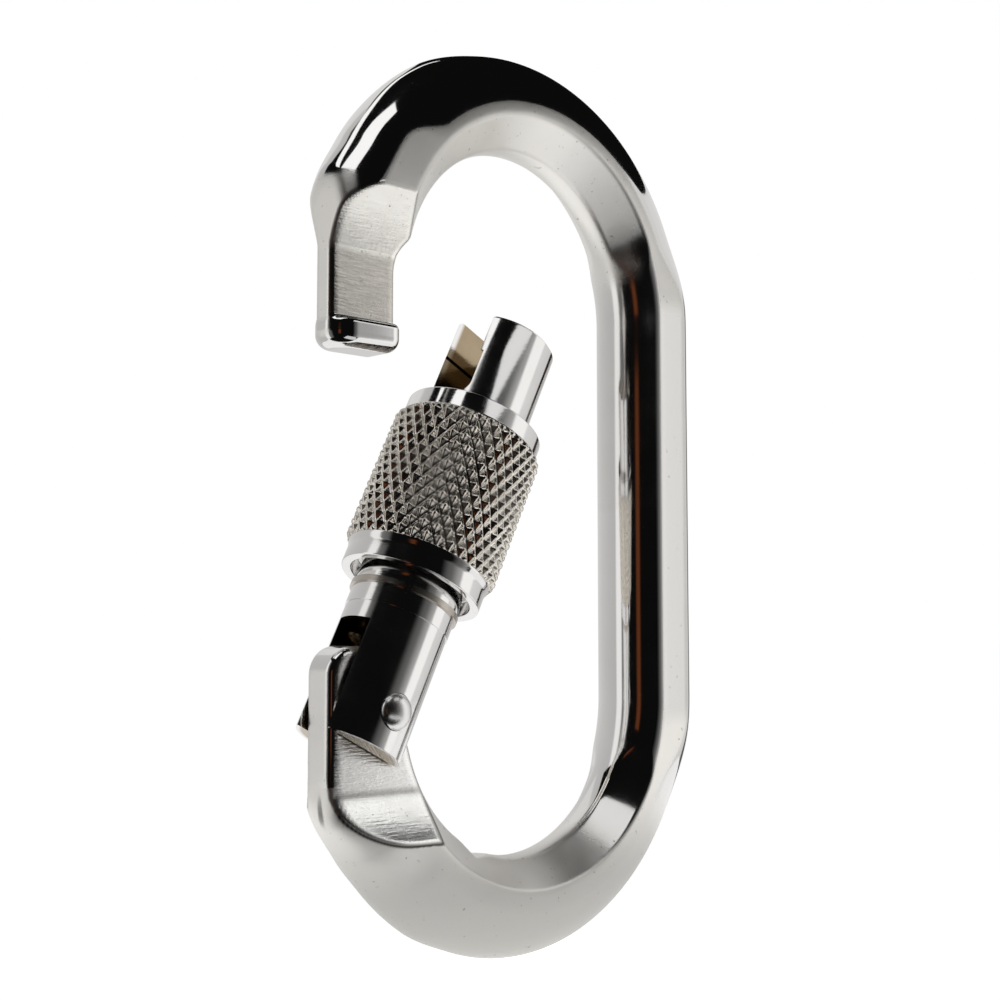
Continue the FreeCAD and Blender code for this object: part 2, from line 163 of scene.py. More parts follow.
def bar_distance(x, y, z):
    """The bent bar with its flats, pressed crowns and inner chamfers."""
    outward, degrees = oval_place(x, z)
    across = np.abs(y)
    crown = swaged(z, degrees)
    extra = fuller(z, degrees)
    squeezed = np.where(outward > 0, outward * BAR_R / (BAR_R + extra), outward)
    plain = np.hypot(squeezed, y) - BAR_R
    edge = math.sqrt(1 - (FLAT_Y / CROWN_Y) ** 2)
    reach = (BAR_R + extra - SWAGE_U) / (1 - edge)
    middle = BAR_R + extra - reach
    oval = (np.hypot((outward - middle) / reach, y / CROWN_Y) - 1) * CROWN_Y
    pressed = np.where(outward > SWAGE_U - 1.0, oval, plain)
    bar = plain + (pressed - plain) * crown
    bar = both(bar, across - FLAT_Y, 0.22)
    chamfer = -0.743 * (outward + 2.3) + 0.669 * (across - FLAT_Y)
    on_bend = step(2, 10, degrees) * (1 - step(150, 172, degrees))
    return both(bar, chamfer - 1.2 * (1 - on_bend), 0.15)


def ramp_centre(fold, ramp, half):
    """Centre of the round cutter that left the ramp between the fold and the full width."""
    chord_z, chord_y = ramp - fold, FLAT_Y - half
    chord = math.hypot(chord_z, chord_y)
    away = math.sqrt(RAMP_R ** 2 - chord ** 2 / 4)
    middle_z, middle_y = (fold + ramp) / 2, (half + FLAT_Y) / 2
    return middle_z - chord_y / chord * away, middle_y + chord_z / chord * away


def web_distance(y, height, fold, ramp, half):
    """Thin web that widens along a ramp to the full bar, with height counted towards the bar."""
    centre_z, centre_y = ramp_centre(fold, ramp, half)
    across = np.abs(y)
    run_out = RAMP_R - np.hypot(height - centre_z, across - centre_y)
    return np.where(height < fold, across - half, run_out)


def tee_distance(x, y, z):
    """Rounded head across the end of the nose."""
    across = np.abs(y) - TEE_HALF
    plan = both(both(x - NOSE_INNER_X, across, 1.3), GATE_FACE_X - x, 2.7)
    head = both(plan, z - TEE_TOP_Z, 0.7)
    return both(head, NOSE_TIP_Z - z, 1.7)


def nose_distance(x, y, z):
    """Nose web with its straight inner edge and the round hollow above it."""
    web = web_distance(y, z, NOSE_FOLD_Z, NOSE_RAMP_Z, NOSE_WEB)
    shoulder_x = NOSE_INNER_X + NOSE_SHOULDER_R
    hollow = NOSE_SHOULDER_R - np.hypot(x - shoulder_x, z - NOSE_SHOULDER_Z)
    inner = np.where(z < NOSE_SHOULDER_Z, x - NOSE_INNER_X, hollow)
    return both(web, inner, 0.45)


def lug_distance(x, y, z):
    """Hinge lug with its inner edge and the slanting waist below it."""
    web = web_distance(y, -z, LUG_FOLD_Z, LUG_RAMP_Z, LUG_WEB)
    waist = 0.8 * (x - LUG_INNER_X) + 0.6 * (z - LUG_WAIST_Z)
    inner = either(x - LUG_INNER_X, waist, 2.0)
    return both(web, inner, 0.35)


def body_distance(x, y, z):
    """The whole body: negative inside, positive outside."""
    bar = bar_distance(x, y, z)
    face = GATE_FACE_X - x
    at_gate = (x < 0) & (np.abs(z) < LUG_RAMP_Z + 3)
    nose = both(bar, nose_distance(x, y, z), np.where(y > 0, 1.6, 0.3))
    nose = both(nose, face, 0.6)
    nose = both(nose, TEE_TOP_Z - 1.5 - z, 0.2)
    nose = either(nose, tee_distance(x, y, z), 0.35)
    lug = both(bar, lug_distance(x, y, z), 0.3)
    end = both(face, z - LUG_TOP_Z, LUG_CORNER_R)
    lug = both(lug, end, np.where(y < 0, 1.1, 0.5))
    shape = both(bar, face, 0.5)
    return np.where(at_gate & (z > 0), nose, np.where(at_gate & (z < 0), lug, shape))


# ---- sweep along the bar ----
RING = 144
FINE, LUG_FINE, MEDIUM, COARSE = 0.1, 0.13, 0.3, 0.6
HALVINGS = 26


def spread(low, high, spacing):
    """Evenly spaced stations from low up to but not including high."""
    count = max(1, round((high - low) / spacing))
    return low + (high - low) * np.arange(count) / count


def bar_stations():
    """Lengths along the centre line: close together where the nose and lug are cut."""
    arc = math.pi * ARM_X
    nose = BEND_Z - NOSE_START_Z
    spine_end = nose + arc + 2 * BEND_Z
    total = spine_end + arc + (LUG_START_Z + BEND_Z)
    past_nose, clear_of_nose = nose + 12, nose + 34
    at_lug = total - 21
    near_lug = at_lug - 10
    lengths = [spread(0, past_nose, FINE), spread(past_nose, clear_of_nose, MEDIUM)]
    lengths += [spread(clear_of_nose, near_lug, COARSE), spread(near_lug, at_lug, MEDIUM)]
    lengths += [spread(at_lug, total, LUG_FINE), [total]]
    return np.concatenate(lengths)


def bar_frames(lengths):
    """Centre, outward and forward directions (x, z) of each station."""
    nose = BEND_Z - NOSE_START_Z
    arc = math.pi * ARM_X
    marks = np.cumsum([nose, arc, 2 * BEND_Z, arc])
    rows = []
    for length in lengths:
        if length < marks[0]:
            rows.append((-ARM_X, NOSE_START_Z + length, -1, 0, 0, 1))
        elif length < marks[1]:
            turn = math.pi - (length - marks[0]) / ARM_X
            c, s = math.cos(turn), math.sin(turn)
            rows.append((ARM_X * c, BEND_Z + ARM_X * s, c, s, s, -c))
        elif length < marks[2]:
            rows.append((ARM_X, BEND_Z - (length - marks[1]), 1, 0, 0, -1))
        elif length < marks[3]:
            turn = -(length - marks[2]) / ARM_X
            c, s = math.cos(turn), math.sin(turn)
            rows.append((ARM_X * c, -BEND_Z + ARM_X * s, c, s, s, -c))
        else:
            rows.append((-ARM_X, -BEND_Z + (length - marks[3]), -1, 0, 0, 1))
    return np.array(rows)


def surface_points(origins, directions, reach=9.0):
    """Where each ray from inside the body leaves it, by halving."""
    low = np.zeros(len(origins))
    high = np.full(len(origins), reach)
    for _ in range(HALVINGS):
        middle = (low + high) / 2
        points = origins + directions * middle[:, None]
        outside = body_distance(points[:, 0], points[:, 1], points[:, 2]) > 0
        high = np.where(outside, middle, high)
        low = np.where(outside, low, middle)
    return origins + directions * ((low + high) / 2)[:, None]


def body_rings():
    """Rings of rays along the bar, with a fan closing each end, nose first."""
    frames = bar_frames(bar_stations())
    tilts = np.radians(spread(0, 90, 2.5)[1:])
    rings = [(frames[0], -tilt) for tilt in tilts[::-1]]
    rings += [(row, 0.0) for row in frames]
    rings += [(frames[-1], tilt) for tilt in tilts]
    return rings


def to_frame(points):
    """Oval millimetres to the frame's metres."""
    moved = np.array(points, float) * MM
    moved[:, 2] += CENTRE_Z
    return moved


def new_mesh(name, points, faces, smooth=True):
    mesh = bpy.data.meshes.new(name)
    mesh.from_pydata([tuple(point) for point in points], [], faces)
    mesh.validate()
    if smooth:
        mesh.shade_smooth()
    piece = bpy.data.objects.new(name, mesh)
    bpy.context.scene.collection.objects.link(piece)
    return piece


def ring_faces(rings, around, closed=False):
    """Quads between neighbouring rings of points."""
    faces = []
    for row in range(rings if closed else rings - 1):
        base, above = row * around, (row + 1) % rings * around
        for number in range(around):
            following = (number + 1) % around
            faces.append((base + number, above + number, above + following, base + following))
    return faces


def add_values(piece, name, values):
    attribute = piece.data.attributes.new(name, "FLOAT", "POINT")
    attribute.data.foreach_set("value", np.asarray(values, np.float32))


def polish_share(x, z, milled, tee):
    """How polished the forged surface is: 1 on the outside of the bends, low on the pressed flats."""
    outward, degrees = oval_place(x, z)
    flat_edge = FLAT_U + (SWAGE_U - FLAT_U) * swaged(z, degrees)
    outside = step(-0.25, 0.25, outward - flat_edge)
    inside = step(-0.2, 0.2, -FLAT_U - outward)
    past_end = step(158, 170, degrees) + step(138, 160, degrees) * step(-4.6, -2.9, outward)
    on_bend = step(0, 8, degrees) * (1 - np.clip(past_end, 0, 1))
    top_bend = outside + inside * (0.9 - 0.75 * on_bend)
    low_bend = outside * (1 - on_bend) + inside * (1 - step(140, 112, degrees) * 0.85)
    polish = np.where(z > 0, top_bend, np.where(z < -BEND_Z, low_bend, outside + inside))
    on_gate_side = (x < GATE_SIDE_X) & (np.abs(z) < LUG_RAMP_Z + 0.5)
    corner = on_gate_side & (x < GATE_FACE_X + 1.2) & (z > -33.0)
    polish = np.where(tee | corner, 1.0, polish)
    on_face = 1 - step(0.03, 0.12, np.abs(x - GATE_FACE_X))
    polish = polish * (1 - milled) * (1 - 0.7 * on_face * (x < 0))
    bulb = step(26, 27, z) * step(35.4, 34.2, z) * step(1.9, 1.2, x - GATE_FACE_X)
    polish = polish * (1 - 0.9 * bulb)
    return np.clip(np.maximum(polish, 0.55 * spine_share(x, z)), 0, 1)


def spine_share(x, z):
    return step(-4, 0, BEND_Z - np.abs(z)) * (x > 0)


def painted_shade_share(x, z):
    """How much painted shade darkens the satin: most on the bottom bend, some on the top bend's flats
    and the spine.
    """
    outward, _ = oval_place(x, z)
    inside = step(-0.2, 0.2, -FLAT_U - outward)
    strip = step(3.0, 2.0, x - GATE_FACE_X)
    painted_shade = np.where(z > 0, 0.6 * (1 - strip), step(34, 47, -z)) * (1 - inside)
    return np.maximum(painted_shade, 0.8 * spine_share(x, z))


def body_finish(points):
    """Shares from 0 to 1 that drive the body's finish, by name, at each point of its surface."""
    x, y, z = points.T
    on_gate_side = (x < GATE_SIDE_X) & (np.abs(z) < LUG_RAMP_Z + 0.5)
    nose_web = web_distance(y, z, NOSE_FOLD_Z, NOSE_RAMP_Z, NOSE_WEB)
    lug_web = web_distance(y, -z, LUG_FOLD_Z, LUG_RAMP_Z, LUG_WEB)
    web = np.where(z > 0, nose_web, lug_web)
    tee = (x < GATE_SIDE_X) & (z > 0) & (z < TEE_TOP_Z + 0.3)
    milled = np.where(on_gate_side & ~tee, 1 - step(0.03, 0.2, np.abs(web)), 0.0)
    past_fold = np.where(z > 0, z - NOSE_FOLD_Z, -z - LUG_FOLD_Z)
    lug = z < 0
    # Painted dark reflection: a narrow near-black line just off the edge of the lug's web.
    painted_dark_line = on_gate_side * lug * step(0, 2, past_fold) * np.exp(-((web + 0.3) / 0.15) ** 2)
    return {
        "polish": polish_share(x, z, milled, tee),
        "milled": milled,
        "ramp": milled * step(-0.3, 0.3, past_fold),
        "crease": milled * np.exp(-((past_fold + 0.2) / 0.45) ** 2),
        "painted_dark_line": painted_dark_line,
        "painted_shade": painted_shade_share(x, z),
        "lug": lug.astype(float),
    }


def make_oval_body():
    """The body's surface, found by rays from the bar's centre line."""
    rings = body_rings()
    turns = np.arange(RING) / RING * 2 * math.pi
    origins, directions = [], []
    for row, tilt in rings:
        centre = np.array([row[0], 0.0, row[1]])
        out = np.array([row[2], 0.0, row[3]])
        ahead = np.array([row[4], 0.0, row[5]])
        side = np.array([0.0, 1.0, 0.0])
        flat = np.cos(turns)[:, None] * out + np.sin(turns)[:, None] * side
        directions.append(math.cos(tilt) * flat + math.sin(tilt) * ahead)
        origins.append(np.repeat(centre[None], RING, 0))
    for row, sign in ((rings[0][0], -1), (rings[-1][0], 1)):
        origins.append(np.array([[row[0], 0.0, row[1]]]))
        directions.append(sign * np.array([[row[4], 0.0, row[5]]]))
    points = surface_points(np.concatenate(origins), np.concatenate(directions))
    count = len(rings)
    faces = ring_faces(count, RING)
    tip, end = count * RING, count * RING + 1
    last = (count - 1) * RING
    for number in range(RING):
        following = (number + 1) % RING
        faces.append((tip, number, following))
        faces.append((end, last + following, last + number))
    piece = new_mesh("oval_body_steel", to_frame(points), faces)
    for name, values in body_finish(points).items():
        add_values(piece, name, values)
    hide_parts("oval_body")
    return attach(piece, "oval_body")


# ---- locking sleeve ----
SLEEVE_LOW, SLEEVE_TOP = 15.3, 37.7
KNURL_LOW, KNURL_TOP = 18.2, 35.4
KNURL_R = 9.17
COLLAR_R = 8.4
SLEEVE_BORE = 6.28
RECESS_R, RECESS_DEPTH = 7.3, 2.0
KNURLS = 36
KNURL_DEPTH = 0.62
KNURL_LEAN = math.radians(32)
KNURL_ROWS = 112
LOW_COLLAR_TOP = 17.4
CORNER_STEPS = 4
SLEEVE_RING = KNURLS * 10


def knurl_radius(along, turn):
    """Pyramids between two families of slanting grooves, fading out at the knurl's ends."""
    pitch = 2 * math.pi * KNURL_R / KNURLS
    rise = pitch / math.tan(KNURL_LEAN)
    a = turn * KNURLS / (2 * math.pi) + along / rise
    b = turn * KNURLS / (2 * math.pi) - along / rise
    slope_a = np.abs((a % 1) - 0.5) * 2
    slope_b = np.abs((b % 1) - 0.5) * 2
    depth = np.clip(np.maximum(slope_a, slope_b) - 0.12, 0, 0.8) / 0.8
    radius = KNURL_R - KNURL_DEPTH * depth
    edge = np.minimum(along - KNURL_LOW, KNURL_TOP - along)
    cone = KNURL_R - KNURL_DEPTH + np.clip(edge, 0, 1) * 1.2
    return np.minimum(radius, cone)


def gate_points(along, radius, turn):
    """Gate cylinder coordinates to the frame's metres; turn 0 is the front, growing inwards."""
    inward = np.outer(radius * np.sin(turn), GATE_IN)
    front = np.outer(radius * np.cos(turn), GATE_FRONT)
    return np.array(HINGE) + (inward + front + np.outer(along, GATE_UP)) * MM


def rounded_profile(corners, radius):
    """Closed (radius, height) outline with every corner rounded off."""
    rows = []
    corners = np.array(corners, float)
    for corner, previous, following in zip(corners, np.roll(corners, 1, 0), np.roll(corners, -1, 0)):
        before = previous - corner
        after = following - corner
        cut = min(radius, np.linalg.norm(before) / 2.2, np.linalg.norm(after) / 2.2)
        start = corner + before / np.linalg.norm(before) * cut
        end = corner + after / np.linalg.norm(after) * cut
        for share in np.linspace(0, 1, CORNER_STEPS + 1):
            bend = (1 - share) ** 2 * start + 2 * share * (1 - share) * corner + share ** 2 * end
            rows.append(bend)
    return np.array(rows)


def make_sleeve():
    """Knurled sleeve with a collar at each end and a recess for the stop ring."""
    turns = np.arange(SLEEVE_RING) / SLEEVE_RING * 2 * math.pi
    bore = [(SLEEVE_BORE, SLEEVE_TOP), (SLEEVE_BORE, SLEEVE_LOW + RECESS_DEPTH)]
    bore += [(RECESS_R, SLEEVE_LOW + RECESS_DEPTH), (RECESS_R, SLEEVE_LOW)]
    low = [(COLLAR_R, SLEEVE_LOW), (COLLAR_R, LOW_COLLAR_TOP), (KNURL_R - 0.55, KNURL_LOW - 0.05)]
    top = [(KNURL_R - KNURL_DEPTH, KNURL_TOP + 0.05), (COLLAR_R, KNURL_TOP + 0.1)]
    top += [(COLLAR_R, SLEEVE_TOP)]
    outline = rounded_profile(bore + low + top, 0.18)
    below = (CORNER_STEPS + 1) * (len(bore) + len(low))
    plain = [(np.full(SLEEVE_RING, height), np.full(SLEEVE_RING, radius)) for radius, height in outline]
    knurl = []
    for level in np.linspace(KNURL_LOW, KNURL_TOP, KNURL_ROWS):
        along = np.full(SLEEVE_RING, level)
        knurl.append((along, knurl_radius(along, turns)))
    rings = plain[:below] + knurl + plain[below:]
    points = np.concatenate([gate_points(along, radius, turns) for along, radius in rings])
    piece = new_mesh("locking_sleeve_knurled", points, ring_faces(len(rings), SLEEVE_RING, True))
    knurled = [float(below <= row < below + KNURL_ROWS) for row in range(len(rings))]
    add_values(piece, "knurled", np.repeat(knurled, SLEEVE_RING))
    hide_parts("locking_sleeve")
    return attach(piece, "sleeve")


# ---- hinge rivet ----
RIVET_R = 1.75
RIVET_HEAD_R = 2.05
RIVET_SEAT = 5.55
RIVET_RIM = 5.9
RIVET_DOME_Y = 7.15
RIVET_CHAMFER = 0.08
RIVET_RING = 96


def make_rivet():
    """Headed rivet through the gate and the lug, domed alike at both ends."""
    profile = []
    for share in np.linspace(0, 1, 15)[1:]:
        angle = share * math.pi / 2
        rim = RIVET_HEAD_R * math.sin(angle)
        profile.append((rim, RIVET_RIM + (RIVET_DOME_Y - RIVET_RIM) * math.cos(angle)))
    profile += [(RIVET_HEAD_R, RIVET_SEAT + RIVET_CHAMFER), (RIVET_HEAD_R - RIVET_CHAMFER, RIVET_SEAT)]
    profile += [(RIVET_R, RIVET_SEAT)]
    outline = profile + [(radius, -height) for radius, height in profile[::-1]]
    turns = np.arange(RIVET_RING) / RIVET_RING * 2 * math.pi
    points = []
    for radius, height in outline:
        ring = np.stack([radius * np.cos(turns), np.full(RIVET_RING, height), radius * np.sin(turns)], 1)
        points.append(np.array(HINGE) + ring * MM)
    points.append(np.array(HINGE) + np.array([[0, RIVET_DOME_Y, 0], [0, -RIVET_DOME_Y, 0]]) * MM)
    points = np.concatenate(points)
    count = len(outline)
    faces = ring_faces(count, RIVET_RING)
    back, front = count * RIVET_RING, count * RIVET_RING + 1
    last = (count - 1) * RIVET_RING
    for number in range(RIVET_RING):
        following = (number + 1) % RIVET_RING
        faces.append((back, number, following))
        faces.append((front, last + following, last + number))
    piece = new_mesh("hinge_rivet_domed", points, faces)
    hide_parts("hinge_rivet")
    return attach(piece, "gate")


# ---- materials ----
class Nodes:
    """Small helper that adds linked shader nodes to one material."""

    def __init__(self, name):
        self.material = bpy.data.materials.new(name)
        self.material.use_nodes = True
        self.tree = self.material.node_tree
        self.shader = self.tree.nodes["Principled BSDF"]

    def add(self, kind, inputs=(), **settings):
        node = self.tree.nodes.new(kind)
        for key, value in settings.items():
            setattr(node, key, value)
        for key, value in dict(inputs).items():
            self.feed(node.inputs[key], value)
        return node

    def feed(self, socket, value):
        if isinstance(value, bpy.types.NodeSocket):
            self.tree.links.new(value, socket)
        else:
            socket.default_value = value

    def math(self, operation, a, b):
        return self.add("ShaderNodeMath", {0: a, 1: b}, operation=operation).outputs[0]

    def vector(self, operation, *values):
        inputs = dict(enumerate(values))
        return self.add("ShaderNodeVectorMath", inputs, operation=operation).outputs

    def noise(self, scale, stretch=(1, 1, 1), detail=4.0):
        place = self.add("ShaderNodeTexCoord").outputs["Object"]
        mapped = self.add("ShaderNodeMapping", {"Vector": place, "Scale": stretch})
        settings = {"Vector": mapped.outputs[0], "Scale": scale, "Detail": detail,
                    "Roughness": 0.55}
        return self.add("ShaderNodeTexNoise", settings).outputs["Fac"]

    def between(self, value, low, high, to_low, to_high):
        settings = {"Value": value, "From Min": low, "From Max": high,
                    "To Min": to_low, "To Max": to_high}
        return self.add("ShaderNodeMapRange", settings).outputs[0]

    def mix(self, share, a, b):
        node = self.add("ShaderNodeMix", data_type="RGBA")
        self.feed(node.inputs["Factor"], share)
        self.feed(node.inputs["A"], a)
        self.feed(node.inputs["B"], b)
        return node.outputs["Result"]

    def from_gate_axis(self):
        """Distance from the gate's axis at rest."""
        place = self.add("ShaderNodeTexCoord").outputs["Object"]
        away = self.vector("SUBTRACT", place, HINGE)["Vector"]
        turned = self.vector("CROSS_PRODUCT", away, GATE_UP)["Vector"]
        return self.vector("LENGTH", turned)["Value"]

    def attribute(self, name):
        return self.add("ShaderNodeAttribute", attribute_name=name).outputs["Fac"]

    def bump(self, height, strength, distance, normal=None):
        settings = {"Height": height, "Strength": strength, "Distance": distance}
        if normal is not None:
            settings["Normal"] = normal
        return self.add("ShaderNodeBump", settings).outputs[0]


def rgba(red, green, blue):
    return (red, green, blue, 1.0)


BRIGHT = (rgba(0.74, 0.73, 0.72), rgba(0.80, 0.79, 0.78))
BROWN = (rgba(0.42, 0.38, 0.33), rgba(0.56, 0.52, 0.47))
WHITE = rgba(1, 1, 1)


# radius of the gate's skin, m: inside it the bore and the slots are brown, partly tarnish and partly
# painted shade
GATE_SKIN_R = 0.0058
SKIN_FADE = 0.0004


def milled_colour_with_painted_light(n, lines):
    """Web, ramp and the crease between them, with painted light: brighter on the lug than on the nose,
    the ramps brighter than the webs, a painted highlight along the nose's crease and painted shade along
    the lug's.
    """
    lug = n.attribute("lug")
    nose_web = n.mix(lines, rgba(0.42, 0.40, 0.36), rgba(0.74, 0.71, 0.66))
    lug_web = n.mix(lines, rgba(0.86, 0.85, 0.83), rgba(0.97, 0.96, 0.94))
    nose_ramp = n.mix(lines, rgba(0.74, 0.72, 0.67), rgba(0.94, 0.92, 0.88))
    lug_ramp = n.mix(lines, rgba(0.95, 0.95, 0.93), rgba(1.0, 1.0, 0.98))
    web = n.mix(lug, nose_web, lug_web)
    ramp = n.mix(lug, nose_ramp, lug_ramp)
    cut = n.mix(n.attribute("ramp"), web, ramp)
    # Painted highlight on the nose's crease, painted shade on the lug's crease.
    crease = n.mix(lug, rgba(0.95, 0.94, 0.88), rgba(0.40, 0.39, 0.37))
    return n.mix(n.math("MULTIPLY", n.attribute("crease"), 0.8), cut, crease)


def body_colour(n, polish, milled, mottle, lines, pits):
    pale = n.mix(mottle, rgba(0.80, 0.78, 0.74), rgba(0.92, 0.90, 0.86))
    # Painted shade: a darker copy of the satin, used where the painted shade share is high.
    shaded_satin = n.mix(mottle, rgba(0.41, 0.40, 0.38), rgba(0.50, 0.49, 0.465))
    satin = n.mix(n.attribute("painted_shade"), pale, shaded_satin)
    colour = n.mix(polish, satin, n.mix(mottle, *BRIGHT))
    colour = n.mix(milled, colour, milled_colour_with_painted_light(n, lines))
    # Painted dark reflection: near-black along the line beside the lug's web.
    colour = n.mix(n.attribute("painted_dark_line"), colour, rgba(0.02, 0.018, 0.015))
    return n.mix(n.math("MULTIPLY", pits, 0.6), colour, rgba(0.16, 0.14, 0.12))


def body_roughness(n, polish, milled, mottle):
    matte = n.between(mottle, 0.3, 0.7, 0.34, 0.46)
    matte = n.math("SUBTRACT", matte, n.math("MULTIPLY", milled, 0.14))
    shiny = n.between(mottle, 0.3, 0.7, 0.05, 0.10)
    difference = n.math("SUBTRACT", shiny, matte)
    return n.math("ADD", matte, n.math("MULTIPLY", difference, polish))


def body_relief(n, polish, milled, lines, pits):
    grain = n.noise(2600, detail=3)
    relief = n.math("MULTIPLY", grain, n.math("SUBTRACT", 1.0, n.math("MULTIPLY", polish, 0.93)))
    normal = n.bump(relief, 0.35, 0.00003)
    normal = n.bump(n.math("MULTIPLY", lines, milled), 0.6, 0.00006, normal)
    return n.bump(n.math("SUBTRACT", 1.0, pits), 0.4, 0.00004, normal)


def body_steel():
    """Forged steel: polished, satin and milled areas, with small pits where it is satin."""
    n = Nodes("body_steel")
    polish = n.attribute("polish")
    milled = n.attribute("milled")
    mottle = n.noise(180, detail=5)
    lines = n.noise(420, (1, 1, 9), detail=3)
    all_pits = n.between(n.noise(1500, detail=2), 0.69, 0.76, 0.0, 1.0)
    pits = n.math("MULTIPLY", all_pits, n.math("SUBTRACT", 1.0, polish))
    n.feed(n.shader.inputs["Base Color"], body_colour(n, polish, milled, mottle, lines, pits))
    n.shader.inputs["Metallic"].default_value = 1.0
    n.feed(n.shader.inputs["Roughness"], body_roughness(n, polish, milled, mottle))
    n.feed(n.shader.inputs["Normal"], body_relief(n, polish, milled, lines, pits))
    return n.material


def turned_steel(name, colours, rough_low, rough_high, knurled=False, brown_inside=False):
    """Lathe-turned steel with faint mottling and fine scratches."""
    n = Nodes(name)
    mottle = n.noise(260, detail=5)
    scratch = n.noise(900, (1, 1, 6), detail=3)
    colour = n.mix(mottle, *colours)
    if knurled:
        share = n.attribute("knurled")
        worn = n.mix(n.noise(700, detail=4), rgba(0.62, 0.57, 0.50), rgba(0.92, 0.88, 0.81))
        colour = n.mix(share, colour, worn)
        rough_high = n.math("ADD", n.math("MULTIPLY", share, 0.26), rough_high)
    if brown_inside:
        inner = n.between(n.from_gate_axis(), GATE_SKIN_R, GATE_SKIN_R - SKIN_FADE, 0.0, 1.0)
        # Tarnish with painted shade: the bore and the slots darkened to brown.
        tarnish_and_shade = n.mix(mottle, rgba(0.26, 0.20, 0.12), rgba(0.42, 0.34, 0.24))
        colour = n.mix(inner, colour, tarnish_and_shade)
    n.feed(n.shader.inputs["Base Color"], colour)
    n.shader.inputs["Metallic"].default_value = 1.0
    n.feed(n.shader.inputs["Roughness"], n.between(mottle, 0.3, 0.7, rough_low, rough_high))
    n.feed(n.shader.inputs["Normal"], n.bump(scratch, 0.12, 0.00003))
    return n.material


def set_material(piece, material):
    piece.data.materials.clear()
    piece.data.materials.append(material)


# ---- stage, m ----
CAMERA_PLACE = Vector((-0.13630, -0.13925, -0.05937))
CAMERA_TARGET = Vector((-0.002068, 0.0, -0.043141))
CAMERA_LENS_MM = 57.19
CAMERA_BACK = Vector((-0.6916, -0.7174, -0.0836)).normalized()
FACING = Vector((CAMERA_BACK.x, CAMERA_BACK.y, 0)).normalized()
LEFT = Vector((FACING.y, -FACING.x, 0))
FLOOR_GAP = 0.0004
FLOOR_FRONT = 0.03
WALL_R = 0.125
WALL_TOP = 0.047
WALL_TALL = 0.2
BAND_TOP = 0.008
BAND_FADE = 0.008
WARM_R = 0.35
WARM_TOP = 0.035
STRIP_Z = 0.1


def make_floor():
    """Pale floor under and behind the object, kept out of what its front reflects."""
    low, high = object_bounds()
    size = 40 * (high.z - low.z)
    edge = FACING * FLOOR_FRONT
    corners = [edge - LEFT * size, edge + LEFT * size]
    corners += [corner - FACING * 2 * size for corner in corners[::-1]]
    points = [(spot.x, spot.y, low.z - FLOOR_GAP) for spot in corners]
    floor = new_mesh("floor", points, [(0, 1, 2, 3)], smooth=False)
    n = Nodes("pale_floor")
    n.feed(n.shader.inputs["Base Color"], n.mix(n.noise(3), rgba(0.86, 0.86, 0.86), rgba(0.9, 0.9, 0.9)))
    n.shader.inputs["Roughness"].default_value = 0.9
    n.shader.inputs["Specular IOR Level"].default_value = 0.1
    n.shader.inputs["Emission Color"].default_value = WHITE
    n.shader.inputs["Emission Strength"].default_value = 1.0
    set_material(floor, n.material)
    floor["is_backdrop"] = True


def emitter(name, points, faces, values, colour):
    """A staged light panel that only shows in reflections."""
    panel = new_mesh(name, points, faces, smooth=False)
    add_values(panel, "light", values)
    material = bpy.data.materials.new(name)
    material.use_nodes = True
    tree = material.node_tree
    tree.nodes.clear()
    light = tree.nodes.new("ShaderNodeAttribute")
    light.attribute_name = "light"
    glow = tree.nodes.new("ShaderNodeEmission")
    glow.inputs["Color"].default_value = colour
    output = tree.nodes.new("ShaderNodeOutputMaterial")
    tree.links.new(light.outputs["Fac"], glow.inputs["Strength"])
    tree.links.new(glow.outputs[0], output.inputs["Surface"])
    set_material(panel, material)
    panel.visible_camera = False
    panel.visible_diffuse = False
    panel.visible_shadow = False
    panel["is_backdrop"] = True


def around(degrees_left, radius):
    """Spot on a circle about the object, in degrees to the left of the lens."""
    angle = math.radians(degrees_left)
    return (FACING * math.cos(angle) + LEFT * math.sin(angle)) * radius


# light level against degrees to the left of the lens; negative is to the right
WALL_LEVELS = [
    (-180, 0.6), (-154, 0.6), (-150, 0.1), (-139, 0.1), (-135, 0.72), (-104, 0.8),
    (-100, 1.12), (-78, 1.12), (-74, 0.42), (-54, 0.12), (-38, 0.0), (44, 0.0),
    (54, 0.14), (62, 0.2), (66, 1.0), (80, 1.0), (84, 0.56), (180, 0.72),
]


def make_light_wall(floor_z):
    """Round wall of light and dark bands, open towards the lens, taller behind on the left."""
    degrees = np.arange(-180, 180, 2.0)
    light = eased(degrees, *zip(*WALL_LEVELS))
    tall = step(96, 104, degrees) * (1 - step(150, 176, degrees))
    tops = WALL_TOP + (WALL_TALL - WALL_TOP) * tall
    points, values = [], []
    for turn, top, level in zip(degrees, tops, light):
        spot = around(turn, WALL_R)
        raised = max(level, 0.8 * step(110, 124, abs(turn)))
        rows = [(floor_z, level), (BAND_TOP, level), (BAND_TOP + BAND_FADE, raised), (top, raised)]
        for height, value in rows:
            points.append((spot.x, spot.y, height))
            values.append(value)
    high = len(rows)
    faces = []
    for number in range(len(degrees)):
        following = (number + 1) % len(degrees)
        if max(light[number], light[following]) > 0:
            for row in range(high - 1):
                near, far = high * number + row, high * following + row
                faces.append((near, far, far + 1, near + 1))
    emitter("light_wall", points, faces, values, rgba(1.0, 0.995, 0.985))


def make_panel(name, corners, height, level):
    """Flat level panel with the given (x, y) corners."""
    points = [(x, y, height) for x, y in corners]
    emitter(name, points, [(0, 1, 2, 3)], [level] * 4, WHITE)


